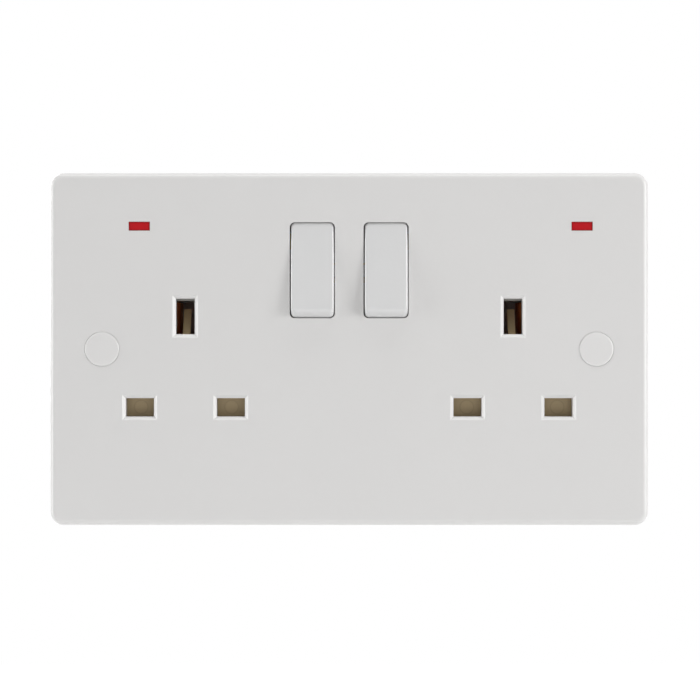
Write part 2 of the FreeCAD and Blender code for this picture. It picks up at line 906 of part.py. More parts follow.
def resistor_start(name):
    """The x of the resistor's outer end."""
    end_x, toward = neon_inner_end(name)
    return end_x + toward * resistor_offset, toward


def make_neutral_lead(name):
    """Two wires: lamp to resistor, and resistor to the neutral bar."""
    end_x, toward = neon_inner_end(name)
    start_x, toward = resistor_start(name)
    low, high = neon_lead_heights()
    drop_x = sides[name] * neutral_corner_x
    landing_z = neutral_low_z + bar_width if name == "left" else neutral_run_z
    first = rod_across(
        min(end_x, start_x), max(end_x, start_x), high, lamp_depth, lead_radius
    )
    second = lead([
        point(start_x + toward * resistor_length, high, lamp_depth),
        point(drop_x, high, lamp_depth), point(drop_x, landing_z, lamp_depth),
        point(drop_x, landing_z, neutral_layer - lead_foot_gap)
    ])
    return Part.makeCompound([first, second])


def make_resistor(name):
    start_x, toward = resistor_start(name)
    low, high = neon_lead_heights()
    x_low = min(start_x, start_x + toward * resistor_length)
    return rod_across(x_low, x_low + resistor_length, high, lamp_depth, resistor_radius)


def spring_peg(x, z_low, z_high):
    """A square peg that keeps a shutter spring in place."""
    half = spring_peg_width / 2
    return block(x - half, x + half, z_low, z_high, shutter_middle - half, shutter_middle + half)


def make_shutter(x):
    """A shutter with two wings, a stem and the sloping tongue the earth pin pushes."""
    wings = block(
        x - shutter_half_width, x + shutter_half_width, shutter_bottom, shutter_top,
        shutter_front, shutter_back
    )
    stem = block(
        x - stem_half_width, x + stem_half_width, shutter_top - 1, stem_top_z,
        shutter_front, shutter_back
    )
    slope = math.hypot(tongue_lean, tongue_height)
    back = tongue_wall * tongue_height / slope
    down = tongue_wall * tongue_lean / slope
    tip_depth = shutter_front + tongue_lean
    tip_z = stem_top_z + tongue_height
    tongue = side_prism([
        (shutter_front, stem_top_z - 1), (shutter_front, stem_top_z), (tip_depth, tip_z),
        (tip_depth + back, tip_z - down), (shutter_front + back, stem_top_z - down),
        (shutter_front + back, stem_top_z - down - 0.5)
    ], x - tongue_half_width, x + tongue_half_width)
    peg = spring_peg(x, shutter_bottom - spring_peg_length, shutter_bottom + 0.5)
    return joined([wings, stem, tongue, peg])


def make_shutter_spring(x):
    outer = rod_upright(x, shutter_middle, spring_seat_z, shutter_bottom, shutter_spring_radius)
    inner_radius = shutter_spring_radius - shutter_spring_wire
    inner = rod_upright(
        x, shutter_middle, spring_seat_z - 1, shutter_bottom + 1, inner_radius
    )
    return outer.cut(inner)


def turned(shape, degrees, depth):
    """A shape turned about a line along X, at the switches' height."""
    shape = shape.copy()
    shape.rotate(point(0, switch_z, depth), Vector(1, 0, 0), degrees)
    return shape


def rocker_depth(offset):
    return rocker_pivot_depth + offset


def make_rocker(x):
    """A hollow rocker with curved ends, two trunnions and a tube for its plunger."""
    back = rocker_depth(rocker_skirt - rocker_face)
    front = rocker_depth(-rocker_face)
    half = rocker_half_width

    def sector(radius, half_width, from_depth, to_depth):
        disc = rod_across(x - half_width, x + half_width, switch_z, rocker_pivot_depth, radius)
        window = centred_block(
            x, switch_z, 4 * half_width, 4 * radius, from_depth, to_depth
        )
        return disc.common(window)

    cap = sector(rocker_radius, half, front, back)
    face_edges = edges_where(cap, lambda p: near(p.y, front - plate_depth))
    end_edges = [edge for edge in face_edges if near(edge.Vertexes[0].Z, edge.Vertexes[1].Z)]
    cap = cap.makeFillet(rocker_end_round, end_edges)
    side_edges = edges_where(cap, lambda p: near(abs(p.x - x), half))
    side_edges = [
        edge for edge in side_edges
        if not all(near(vertex.Y, back - plate_depth) for vertex in edge.Vertexes)
    ]
    cap = cap.makeChamfer(rocker_side_bevel, side_edges)
    roof = rocker_depth(rocker_roof)
    hollow = sector(rocker_radius - rocker_wall, half - rocker_wall, roof, back + 1)
    cap = cap.cut(hollow)

    lug_outline = [
        (back - 1, switch_z - rocker_lug_foot), (back, switch_z - rocker_lug_foot),
        (rocker_depth(0), switch_z - rocker_lug_radius),
        (rocker_depth(0), switch_z + rocker_lug_radius),
        (back, switch_z + rocker_lug_foot), (back - 1, switch_z + rocker_lug_foot),
    ]
    additions = []
    trunnion_end = rocker_opening_width / 2 + ear_wall - trunnion_end_play
    for low, high, tip in (
        (x - half, x - half + rocker_wall, x - trunnion_end),
        (x + half - rocker_wall, x + half, x + trunnion_end),
    ):
        additions.append(side_prism(lug_outline, low, high))
        additions.append(rod_across(low, high, switch_z, rocker_depth(0), rocker_lug_radius))
        additions.append(rod_across(
            min(low, tip), max(high, tip), switch_z, rocker_depth(0), trunnion_radius
        ))
    additions.append(rod(
        x, switch_z, plunger_tube_radius, roof - 0.5, rocker_depth(plunger_tube_mouth)
    ))
    bore = rod(
        x, switch_z, plunger_radius + plunger_clearance, roof,
        rocker_depth(plunger_tube_mouth) + 1
    )
    return turned(carved(joined([cap] + additions), [bore]), -rocker_tilt, rocker_pivot_depth)


def make_plunger(x):
    """A round plunger with a shoulder for its spring and a blunt cone that leads."""
    start = rocker_depth(plunger_shoulder)
    body = rod(x, switch_z, plunger_radius, start, start + plunger_body_length)
    tip = rocker_depth(plunger_tip)
    nose = rod(x, switch_z, plunger_nose_radius, start, tip)
    nose = nose.makeChamfer(
        plunger_nose_radius / 2, edges_where(nose, lambda p: near(p.y, tip - plate_depth))
    )
    return turned(joined([body, nose]), -rocker_tilt, rocker_pivot_depth)


def make_plunger_spring(x):
    spring = rod(
        x, switch_z, plunger_spring_radius, rocker_depth(rocker_roof),
        rocker_depth(plunger_shoulder)
    )
    return turned(spring, -rocker_tilt, rocker_pivot_depth)


def make_moving_contact(x):
    """A see-saw strip with a lug on each side for the notches of its bracket."""
    front = seesaw_depth - seesaw_thickness / 2
    back = seesaw_depth + seesaw_thickness / 2
    strip = centred_block(x, switch_z, seesaw_width, 2 * seesaw_half_length, front, back)
    lug_reach = bracket_half_width + seesaw_lug_end
    lugs = centred_block(x, switch_z, 2 * lug_reach, seesaw_lug_height, front, back)
    return turned(joined([strip, lugs]), math.degrees(seesaw_tilt), seesaw_depth)


def bevelled_tip(x, z, width, front, back, contact_depth):
    """A square silver tip with a bevel round the face that touches."""
    tip = centred_block(x, z, width, width, front, back)
    rim = edges_where(tip, lambda p: near(p.y, contact_depth - plate_depth))
    return tip.makeChamfer(tip_bevel, rim)


def make_moving_tip(x):
    front = seesaw_depth + seesaw_thickness / 2
    back = front + tip_thickness
    tip = bevelled_tip(x, switch_z + tip_offset, moving_tip_width, front, back, back)
    return turned(tip, math.degrees(seesaw_tilt), seesaw_depth)


def make_fixed_tip(x):
    return bevelled_tip(
        x, fixed_tip_z, fixed_tip_width, fixed_tip_front, neutral_layer, fixed_tip_front
    )


def make_bracket(x):
    """A folded bracket whose two ears carry the see-saw contact in open notches."""
    back = live_layer
    front = back - bar_thickness
    tip = seesaw_depth - seesaw_thickness / 2 - bracket_lip
    outline = [
        (back, switch_z - bracket_foot_height / 2), (tip, switch_z - bracket_tip_height / 2),
        (tip, switch_z + bracket_tip_height / 2), (back, switch_z + bracket_foot_height / 2),
    ]
    ears = [
        side_prism(outline, x - bracket_half_width, x - bracket_half_width + bracket_wall),
        side_prism(outline, x + bracket_half_width - bracket_wall, x + bracket_half_width),
    ]
    foot = centred_block(
        x, switch_z, 2 * bracket_half_width, bracket_foot_height, front, back
    )
    reach = bracket_half_width + 1
    notch_half = seesaw_lug_height / 2 + seesaw_lug_gap
    notch = centred_block(
        x, switch_z, 2 * reach, 2 * notch_half, tip - 1,
        seesaw_depth + seesaw_thickness / 2 + seesaw_lug_gap
    )
    return carved(joined([foot] + ears), [notch])


def make_nodes():
    """Every piece of the socket outlet, by name."""
    nodes = {
        "front_plate": make_front_plate(),
        "rear_housing": make_rear_housing(),
        "assembly_screws": make_assembly_screws(),
    }
    for name, stretches in bar_routes().items():
        nodes[name] = make_bar(stretches)
    for name in terminals:
        nodes[name + "_terminal"] = make_terminal(name)
        nodes[name + "_terminal_screw"] = make_terminal_screw(name)
    for name in sides:
        nodes[name + "_screw_cap"] = make_screw_cap(fixings[name])
        nodes[name + "_neon_lens"] = make_neon_lens(neons[name])
        nodes[name + "_neon_lamp"] = make_neon_lamp(name)
        nodes[name + "_neon_resistor"] = make_resistor(name)
        nodes[name + "_neon_live_lead"] = make_live_lead(name)
        nodes[name + "_neon_neutral_lead"] = make_neutral_lead(name)
        nodes[name + "_earth_contact"] = make_earth_contact(sockets[name])
        nodes[name + "_neutral_contact"] = make_power_contact(neutral_pins[name])
        nodes[name + "_live_contact"] = make_power_contact(live_pins[name])
        nodes[name + "_fulcrum_bracket"] = make_bracket(switches[name])
        nodes[name + "_fixed_tip"] = make_fixed_tip(switches[name])
        nodes[name + "_moving_contact"] = make_moving_contact(switches[name])
        nodes[name + "_moving_tip"] = make_moving_tip(switches[name])
        nodes[name + "_rocker"] = make_rocker(switches[name])
        nodes[name + "_plunger"] = make_plunger(switches[name])
        nodes[name + "_plunger_spring"] = make_plunger_spring(switches[name])
        nodes[name + "_shutter"] = make_shutter(sockets[name])
        nodes[name + "_shutter_spring"] = make_shutter_spring(sockets[name])
    return nodes


os.makedirs("parts", exist_ok=True)
for node_name, node_shape in make_nodes().items():
    node_shape.exportStep(f"parts/{node_name}.step")
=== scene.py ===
import json
import math

import bmesh
import bpy
import numpy as np
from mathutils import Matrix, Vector


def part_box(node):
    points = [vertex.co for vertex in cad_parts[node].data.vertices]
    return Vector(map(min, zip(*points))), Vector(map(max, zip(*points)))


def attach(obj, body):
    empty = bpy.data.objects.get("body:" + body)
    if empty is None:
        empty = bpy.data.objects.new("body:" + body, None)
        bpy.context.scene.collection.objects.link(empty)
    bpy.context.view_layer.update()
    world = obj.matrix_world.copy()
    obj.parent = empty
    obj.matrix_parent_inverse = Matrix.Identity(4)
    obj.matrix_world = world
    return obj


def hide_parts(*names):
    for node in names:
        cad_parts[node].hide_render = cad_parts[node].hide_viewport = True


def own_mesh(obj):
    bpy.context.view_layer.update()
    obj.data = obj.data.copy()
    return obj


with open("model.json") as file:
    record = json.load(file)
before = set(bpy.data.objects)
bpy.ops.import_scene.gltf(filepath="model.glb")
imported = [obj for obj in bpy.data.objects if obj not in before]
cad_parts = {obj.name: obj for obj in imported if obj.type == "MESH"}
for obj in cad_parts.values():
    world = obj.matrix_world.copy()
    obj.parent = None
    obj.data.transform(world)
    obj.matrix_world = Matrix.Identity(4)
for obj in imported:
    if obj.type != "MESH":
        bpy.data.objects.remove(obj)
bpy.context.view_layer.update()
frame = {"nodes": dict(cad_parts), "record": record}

# Lengths are in millimetres unless a comment says otherwise, and a depth is measured back from
# the plate's face. make_piece turns them into metres.
MM = 0.001
SIDES = {"left": -1, "right": 1}

# Meshes: how near points merge, in metres, the angle up to which an edge is smooth, and the
# radius at which an outline stops short of its axis, where a small end face closes it
MERGE = 1e-7
CREASE = math.radians(35.0)
NEAR_AXIS = 0.01
# How many flats go round a wire, a thread, a screw's head, a turned outline and a cap
WIRE_FLATS = 12
THREAD_FLATS = 24
HEAD_FLATS = 96
TURNED_FLATS = 48
CAP_FLATS = 96

# The plate and what shows on it; a window is its half width and half height
PLATE_DEPTH = 9.0
PIN_X = (28.9, 51.1)
POWER_Z = -14.2
NEON = {"left": (-51.2, 30.0), "right": (56.8, 30.0)}
NEON_WINDOW = (2.55, 1.05)
NEON_RIM = 0.45
CAP_X = 60.3
# Cap: widest radius, proud of the face, width of its round edge, thickness, plug radius and end
CAP = (4.175, 0.2, 0.5, 1.2, 3.65, 3.4)
# How far its rim leans in at the back, and its plug's bevel as (along, inward)
CAP_LEAN = 0.1
PLUG_BEVEL = (0.3, 0.2)

# The rocker's pivot and its tilt at rest
SWITCH_X = 9.0
SWITCH_Z = 19.25
ROCKER_PIVOT_DEPTH = 6.0
ROCKER_REST = math.radians(6.0)
# Its ends' arc, flat face and back rim, as distances from the pivot, and its other measures
ROCKER_ARC = 12.789
ROCKER_FACE = 7.0
ROCKER_BACK = 2.0
ROCKER_HALF_WIDTH = 5.2
ROCKER_OVER = 0.08
ROCKER_WALL = 1.3
ROCKER_ROOF = ROCKER_FACE - ROCKER_WALL
ROCKER_END_ROUND = 1.2
ROCKER_SIDE_ROUND = 0.6
ROCKER_CORNER = 1.1
LUG_RADIUS = 3.0
LUG_FOOT = 5.5
LUG_ROOT = 0.5
# Trunnion: radius, end, bevel, how far it starts inside the rocker's side
TRUNNION = (1.5, 7.0, 0.3, 0.3)
# Plunger tube: outer radius, inner radius, length, how far it sinks into the roof, bevels
PLUNGER_TUBE = (2.6, 1.75, 9.2, 0.4, 0.3, 0.2)

# Springs: outer radius, wire radius, turns. Last come each flat end turn's rise, and the steps
# in a turn
PLUNGER_SPRING = (1.5, 0.2, 8)
PLUNGER_SPRING_LENGTH = 5.2
SHUTTER_SPRING = (1.8, 0.22, 11)
SHUTTER_SPRING_X = 40.0
SHUTTER_SPRING_DEPTH = 5.9
SHUTTER_SPRING_Z = (-30.0, -17.4)
END_TURN_RISE = 0.06
COIL_STEPS = 28

# The shutter's mould mark: radius, line width, change of shade on the line and inside it
SHUTTER_MARK = (1.65, 0.22, -0.16, 0.05)
# Painted light on its ramp, lighter towards the foot in place of light that reaches it down the
# earth slot: the ramp's foot, the height over which it fades, and the change of shade at the
# foot
SHUTTER_PAINTED_LIGHT = (3.0, 9.0, 0.9)

# Screws: shank radius, thread pitch, tip depth, head seat depth, head radius, head height
TERMINAL_SCREW = (1.6, 0.7, 20.7, 27.2, 2.6, 2.0)
TERMINAL_X = {"neutral": -11.0, "earth": 0.0, "live": 11.0}
TERMINAL_Z = -25.0
ASSEMBLY_SCREW = (1.4, 1.05, 6.0, 24.0, 2.8, 1.9)
ASSEMBLY_SCREW_X = 41.5
ASSEMBLY_SCREW_Z = 19.5
# How far each head has turned, in degrees, and how far a shank reaches into its head
SLOT_TURN = {"neutral": 18, "earth": 64, "live": -31}
CROSS_TURN = {"left": 12, "right": -27}
SHANK_OVERLAP = 0.05
# Thread, as shares of its pitch: depth, and how fast it fades; its tooth's slope and flat root;
# and the steps in a pitch
THREAD_DEPTH = 0.42
THREAD_FADE = 1.5
THREAD_TOOTH = (1.35, 0.1)
THREAD_STEPS = 8
# Slot: width, depth, and the round of its head's edge
SLOT = (0.9, 1.1, 0.25)
# Cross recess: an arm's reach, half its width, depth, run of its wall, and its rise outwards
CROSS = (1.75, 0.62, 1.25, 0.12, 0.45)
# Pan head: the dome's fall at the rim, and the rim as (inward, down from the top)
PAN_FALL = 0.35
PAN_RIM = ((0.05, 0.42), (0.0, 0.6), (0.0, 1.1))

# Raised marks above the terminals, as strokes (right, up) seen from behind
HOUSING_BACK_Y = 21.0
MARK_Z = -16.2
MARK_RIB = 0.36
MARKS = {
    "neutral": [[(-0.85, -1.3), (-0.85, 1.3), (0.85, -1.3), (0.85, 1.3)]],
    "earth": [[(0, 1.4), (0, 0.2)], [(-1.3, 0.2), (1.3, 0.2)], [(-0.8, -0.55), (0.8, -0.55)],
              [(-0.3, -1.3), (0.3, -1.3)]],
    "live": [[(-0.75, 1.3), (-0.75, -1.3), (0.75, -1.3)]],
}

# The room, in metres: the world's share of light on the part, the floor, and the lamps as
# (place, size, strength), which all aim at the part's middle
WORLD_FILL = 0.33
FLOOR_Z = -0.55
FLOOR_SPAN = 4.0
FLOOR_GLOW = 0.75
LAMPS = {
    "key light": ((1.1, -0.5, 0.2), (0.5, 0.7), 9.0),
    "left light": ((-1.25, -0.2, 0.1), (0.4, 0.9), 8.0),
    "top light": ((0.0, -0.1, 1.2), (1.2, 0.4), 7.6),
    "low light": ((0.0, -0.85, -0.42), (1.2, 0.4), 1.85),
    "back light": ((-0.7, 1.0, 0.4), (0.8, 0.8), 9.0),
}

# The camera, in metres: its place across and up, its distance from the face, the width that it
# sees there, and its sensor in millimetres
CAMERA_PLACE = (0.0002, -0.0002)
CAMERA_DISTANCE = 0.65
CAMERA_VIEW = 0.1707
CAMERA_SENSOR = 36.0


# Surfaces


def stack(*parts):
    """Joins (points, faces) pairs into one, with the faces' numbers moved on."""
    points, faces, start = [], [], 0
    for part_points, part_faces in parts:
        points.append(part_points)
        faces += [tuple(index + start for index in face) for face in part_faces]
        start += len(part_points)
    return np.concatenate(points), faces


def weave(grid, closed_columns=True, caps=True):
    """Faces over a grid of points[row, column], with an end face over the first and last row."""
    rows, columns = grid.shape[:2]
    row = np.arange(rows - 1)[:, None]
    column = np.arange(columns if closed_columns else columns - 1)[None, :]
    next_column = (column + 1) % columns
    faces = np.stack([
        row * columns + column, (row + 1) * columns + column,
        (row + 1) * columns + next_column, row * columns + next_column,
    ], axis=-1).reshape(-1, 4).tolist()
    if caps:
        faces.append(range(columns))
        faces.append(range(rows * columns - 1, (rows - 1) * columns - 1, -1))
    return grid.reshape(-1, 3), faces


def sections(places, loops):
    """Loops of (second, third) points set at their places on the first axis."""
    return np.array([
        np.concatenate([np.full((len(loop), 1), place), loop], axis=1)
        for place, loop in zip(places, loops)])


def make_piece(name, points, faces, body, material):
    """A mesh from points in millimetres, smooth where its faces meet at less than the crease."""
    mesh = bpy.data.meshes.new(name)
    mesh.from_pydata(points * MM, [], faces)
    mesh.validate()
    obj = bpy.data.objects.new(name, mesh)
    bpy.context.scene.collection.objects.link(obj)
    tidy_mesh(mesh)
    mesh.shade_smooth()
    mesh.set_sharp_from_angle(angle=CREASE)
    mesh.materials.append(material)
    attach(obj, body)
    return obj


def tidy_mesh(mesh):
    """Merges points that lie together and turns every face outwards."""
    work = bmesh.new()
    work.from_mesh(mesh)
    bmesh.ops.remove_doubles(work, verts=work.verts, dist=MERGE)
    bmesh.ops.dissolve_degenerate(work, edges=work.edges, dist=MERGE)
    bmesh.ops.recalc_face_normals(work, faces=work.faces)
    work.to_mesh(mesh)
    work.free()


def axes(along, across):
    """The two directions as arrays, and the third that lies across both."""
    along, across = np.array(along, float), np.array(across, float)
    return along, across, np.cross(along, across)


def around(flats):
    """Angles spread evenly over one turn, without its end."""
    return np.linspace(0, 2 * math.pi, flats, endpoint=False)


def turned_surface(distance, radius, turn, along, across, origin):
    """A surface round an axis, from arrays whose rows lie along it and columns round it.

    Point = origin + distance x along + radius x (cos t x across + sin t x third direction).
    """
    along, across, third = axes(along, across)
    ring = np.cos(turn)[:, None] * across + np.sin(turn)[:, None] * third
    return weave(
        np.array(origin, float) + distance[..., None] * along + radius[..., None] * ring)


def spun(outline, along, across, origin, flats=TURNED_FLATS):
    """An outline (distance along the axis, radius) turned about the axis."""
    outline = np.array(outline, float)
    return turned_surface(
        outline[:, :1], outline[:, 1:], around(flats), along, across, origin)


def carried(path, radius):
    """A round section carried along a path.

    At each point the section lies across the path's direction, and its start is kept
    from twisting by taking the part of the last one that lies across the new direction.
    """
    path = np.array(path, float)
    direction = np.gradient(path, axis=0)
    direction /= np.linalg.norm(direction, axis=1)[:, None]
    side = np.cross(direction[0], [0.0, 0.0, 1.0])
    if np.linalg.norm(side) < 1e-6:
        side = np.cross(direction[0], [1.0, 0.0, 0.0])
    frames = []
    for aim in direction:
        side = side - aim * (side @ aim)
        side /= np.linalg.norm(side)
        frames.append((side, np.cross(aim, side)))
    frames = np.array(frames)
    turn = around(WIRE_FLATS)
    grid = (
        path[:, None, :]
        + radius * np.cos(turn)[None, :, None] * frames[:, None, 0]
        + radius * np.sin(turn)[None, :, None] * frames[:, None, 1]
    )
    return weave(grid)


def coil(start, aim, length, spring):
    """A wire carried along a coil's line, with one flat end turn at each end.

    The angle grows evenly. The advance is hardly more than nothing over an end turn, as on
    ground ends, and even between them: the line is start + rise x aim + radius x (cos, sin).
    """
    outer, wire, turns = spring
    radius = outer - wire
    aim = np.array(aim, float)
    across = np.cross(aim, [1.0, 0.0, 0.0])
    third = np.cross(aim, across)
    turned = np.linspace(0, 1, turns * COIL_STEPS + 1) * turns
    live = turns - 2
    rise = END_TURN_RISE * np.minimum(turned, 1)
    rise = rise + np.clip(turned - 1, 0, live) / live * (length - 2 * END_TURN_RISE)
    rise = rise + END_TURN_RISE * np.clip(turned - 1 - live, 0, 1)
    angle = 2 * math.pi * turned
    path = (
        np.array(start, float) + rise[:, None] * aim
        + radius * np.cos(angle)[:, None] * across + radius * np.sin(angle)[:, None] * third
    )
    return carried(path, wire)


def threaded(radius, pitch, start, end, origin):
    """A screw's shank: radius(s, t) = core + height x tooth(s / pitch - t / turn).

    The tooth is a rounded triangle wave, and it fades out towards both ends.
    """
    slope, root = THREAD_TOOTH
    count = int(abs(end - start) / pitch * THREAD_STEPS) + 1
    reach = np.linspace(start, end, count)[:, None]
    turn = around(THREAD_FLATS)
    phase = (reach / pitch - turn / (2 * math.pi)) % 1.0
    tooth = 1 - np.abs(2 * phase - 1)
    tooth = np.clip(slope * tooth - root, 0, 1)
    inside = np.minimum(np.abs(reach - start), np.abs(end - reach)) / pitch
    size = radius - THREAD_DEPTH * pitch * (1 - tooth * np.clip(inside * THREAD_FADE, 0, 1))
    return turned_surface(reach, size, turn, (0, 1, 0), (1, 0, 0), origin)


def cross_head(radius, height, seat, across, origin):
    """A pan head with a cross recess.

    Height(r, t) = dome(r) - sink x wall(edge(t) - r), where edge(t) is the cross's outline:
    the arm's end near the arm's middle, and its side, width / sin t, away from it.
    """
    reach, width, sink, run, rise = CROSS
    turn = around(HEAD_FLATS)
    folded = np.abs((turn + math.pi / 4) % (math.pi / 2) - math.pi / 4)
    edge = np.minimum(reach, width / np.maximum(np.sin(folded), 1e-3))
    share = np.concatenate([np.linspace(0, 0.9, 5), [1.0]])[:, None]
    inner = share * (edge - run)
    steep = np.array([0.0, 0.35, 1.0])[:, None]
    wall = (edge - run) + steep * run
    land = 0.15
    outer = edge + np.linspace(land, 1, 6)[:, None] * (radius - land - edge)
    # The rim ends on the seat
    rim_in, rim_down = np.array(PAN_RIM + ((0.0, height),)).T[..., None]
    rim = radius - rim_in + np.zeros_like(turn)

    size = np.concatenate([inner, wall, outer, rim])
    top = height - PAN_FALL * (np.minimum(size, radius) / radius) ** 4
    top[:len(inner)] -= sink * (1 - rise * inner / reach)
    top[len(inner):len(inner) + len(wall)] -= sink * (1 - rise) * (1 - steep)
    top[-len(rim):] = height - rim_down
    return turned_surface(seat + top, size, turn, (0, 1, 0), across, origin)


def slotted_head(radius, height, seat, across, origin):
    """A cheese head with a straight slot, as a section across the slot carried along it.

    At each distance w from the slot's middle, half the chord is sqrt(radius^2 - w^2). The top
    lies at the head's height, or lower by the slot's depth where w is within the slot.
    """
    along, across, third = axes((0, 1, 0), across)
    width, sink, edge_round = SLOT
    half = width / 2
    w_outer = half + (radius - half) * np.sin(np.linspace(0, math.pi / 2, 14))
    w = np.concatenate([-w_outer[::-1], [-half], [half], w_outer])
    level = np.full(len(w), height)
    level[len(w_outer):len(w_outer) + 2] = height - sink
    chord = np.sqrt(np.maximum(radius ** 2 - w ** 2, 0))
    fall = np.linspace(0, math.pi / 2, 5)
    inward = edge_round * (1 - np.sin(fall))
    down = edge_round * (1 - np.cos(fall))
    loops = []
    for span, top in zip(chord, level):
        out = span - np.minimum(inward, span)
        up = np.minimum(top, height - down)
        right = np.stack([out, up], axis=1)[::-1]
        left = np.stack([-out, up], axis=1)
        loops.append(np.concatenate([[[span, 0.0]], right, left, [[-span, 0.0]]]))
    rows = sections(w, loops)
    grid = (
        np.array(origin, float) + rows[..., :1] * third + rows[..., 1:2] * across
        + (seat + rows[..., 2:3]) * along
    )
    return weave(grid)


# Materials


def linear(red, green, blue):
    """A colour on the usual 0 to 255 scale as Blender's linear values.

    Value = c / 12.92 up to 0.04045, and ((c + 0.055) / 1.055)^2.4 above, with c from 0 to 1.
    """
    values = np.array([red, green, blue]) / 255
    low = values / 12.92
    high = ((values + 0.055) / 1.055) ** 2.4
    return (*np.where(values <= 0.04045, low, high), 1.0)


def give(tree, value, socket):
    """Wires a node's output to a socket, or sets the socket to a plain value."""
    if isinstance(value, bpy.types.NodeSocket):
        tree.links.new(value, socket)
    else:
        socket.default_value = value


def add(tree, kind, settings=None, **inputs):
    """A node with its own settings and its inputs, by name or, after a line, by number."""
    made = tree.nodes.new(kind)
    for key, value in (settings or {}).items():
        setattr(made, key, value)
    for key, value in inputs.items():
        label = int(key[1:]) if key[1:].isdigit() else key.replace("_", " ")
        give(tree, value, made.inputs[label])
    return made


def maths(tree, operation, *values, clamp=False):
    """The result of a Math node on its values."""
    made = add(tree, "ShaderNodeMath", {"operation": operation, "use_clamp": clamp})
    for socket, value in zip(made.inputs, values):
        give(tree, value, socket)
    return made.outputs[0]


def noise(tree, place, scale, detail):
    """Noise from 0 to 1, mostly near its middle."""
    made = add(tree, "ShaderNodeTexNoise", Vector=place, Scale=scale, Detail=detail)
    return made.outputs["Fac"]


def scaled(tree, vector, factor):
    """A colour or vector times a number."""
    made = add(tree, "ShaderNodeVectorMath", {"operation": "SCALE"}, _0=vector, Scale=factor)
    return made.outputs[0]


def between(tree, share, first, second):
    """The first colour where the share is 0, and the second where it is 1."""
    made = add(tree, "ShaderNodeMix", {"data_type": "RGBA"}, _0=share, _6=first, _7=second)
    return made.outputs[2]


def bumped(tree, height, reach):
    """The normal of a surface that rises by the height, from 0 to 1, times the reach."""
    distance = maths(tree, "MULTIPLY", reach, MM)
    made = add(tree, "ShaderNodeBump", Strength=1.0, Height=height, Distance=distance)
    return made.outputs[0]


SOCKET_KINDS = {
    "number": "NodeSocketFloat", "colour": "NodeSocketColor", "vector": "NodeSocketVector",
}
# What both groups put out, and where it goes on the shader
FINISH = {
    "Colour": ("colour", "Base Color"),
    "Roughness": ("number", "Roughness"),
    "Normal": ("vector", "Normal"),
}


def new_group(name, inputs):
    """A shader group with its input sockets and those of a finish, and both as they are used."""
    tree = bpy.data.node_groups.new(name, "ShaderNodeTree")
    for label, kind, value in inputs:
        socket = tree.interface.new_socket(
            label, in_out="INPUT", socket_type=SOCKET_KINDS[kind])
        if value is not None:
            socket.default_value = value
    for label, (kind, _) in FINISH.items():
        tree.interface.new_socket(label, in_out="OUTPUT", socket_type=SOCKET_KINDS[kind])
    given = tree.nodes.new("NodeGroupInput").outputs
    out = tree.nodes.new("NodeGroupOutput").inputs
    return tree, given, out


def moulded_skin():
    """Moulded plastic: slow clouds in its tone and gloss, and a faint fine skin.

    Colour = tone x (1 + change x (cloud - 0.5)), and roughness = gloss + change x
    (cloud - 0.5).
    """
    tree, given, out = new_group("moulded skin", [
        ("Place", "vector", None), ("Tone", "colour", None), ("Cloud size", "number", 30.0),
        ("Tone change", "number", 0.02), ("Gloss", "number", 0.3),
        ("Gloss change", "number", 0.05), ("Skin size", "number", 900.0),
        ("Skin height", "number", 0.02),
    ])
    cloud = noise(tree, given["Place"], given["Cloud size"], detail=2.0)
    swing = maths(tree, "SUBTRACT", cloud, 0.5)
    tone = maths(tree, "MULTIPLY_ADD", swing, given["Tone change"], 1.0)
    give(tree, scaled(tree, given["Tone"], tone), out["Colour"])
    gloss = maths(tree, "MULTIPLY_ADD", swing, given["Gloss change"], given["Gloss"])
    give(tree, gloss, out["Roughness"])
    fine = noise(tree, given["Place"], given["Skin size"], detail=1.0)
    give(tree, bumped(tree, fine, given["Skin height"]), out["Normal"])
    return tree


def worked_metal():
    """Metal with drawn lines along one way and dulled patches.

    The lines are noise on the place times a vector that is small along them. Roughness =
    gloss + 0.4 x dull + 0.2 x (lines - 0.5).
    """
    tree, given, out = new_group("worked metal", [
        ("Place", "vector", None), ("Tone", "colour", None),
        ("Lines", "vector", (1.0, 1.0, 1.0)), ("Dull tone", "colour", None),
        ("Dull share", "number", 0.3), ("Gloss", "number", 0.3), ("Line height", "number", 0.02),
    ])
    stretched = add(tree, "ShaderNodeVectorMath", {"operation": "MULTIPLY"},
                    _0=given["Place"], _1=given["Lines"]).outputs[0]
    lines = noise(tree, stretched, scale=700.0, detail=3.0)
    patches = noise(tree, given["Place"], scale=260.0, detail=4.0)
    spread = add(tree, "ShaderNodeMapRange", Value=patches, From_Min=0.45, From_Max=0.75,
                 To_Min=0.0, To_Max=1.0)
    dull = maths(tree, "MULTIPLY", spread.outputs[0], given["Dull share"])
    give(tree, between(tree, dull, given["Tone"], given["Dull tone"]), out["Colour"])
    gloss = maths(tree, "MULTIPLY_ADD", dull, 0.4, given["Gloss"])
    gloss = maths(tree, "MULTIPLY_ADD", maths(tree, "SUBTRACT", lines, 0.5), 0.2, gloss)
    give(tree, gloss, out["Roughness"])
    give(tree, bumped(tree, lines, given["Line height"]), out["Normal"])
    return tree


SKIN = moulded_skin()
WORKED = worked_metal()


def new_material(name, **shader):
    """A material with its shader's plain values set, and the object's own coordinates."""
    material = bpy.data.materials.new(name)
    material.use_nodes = True
    tree = material.node_tree
    principled = tree.nodes["Principled BSDF"]
    for key, value in shader.items():
        principled.inputs[key.replace("_", " ")].default_value = value
    place = tree.nodes.new("ShaderNodeTexCoord").outputs["Object"]
    return material, tree, principled, place


def dress(tree, principled, group, place, **values):
    """Places a group in a material and wires its colour, gloss and normal to the shader."""
    made = tree.nodes.new("ShaderNodeGroup")
    made.node_tree = group
    give(tree, place, made.inputs["Place"])
    for key, value in values.items():
        give(tree, value, made.inputs[key.replace("_", " ")])
    for label, (_, socket) in FINISH.items():
        give(tree, made.outputs[label], principled.inputs[socket])


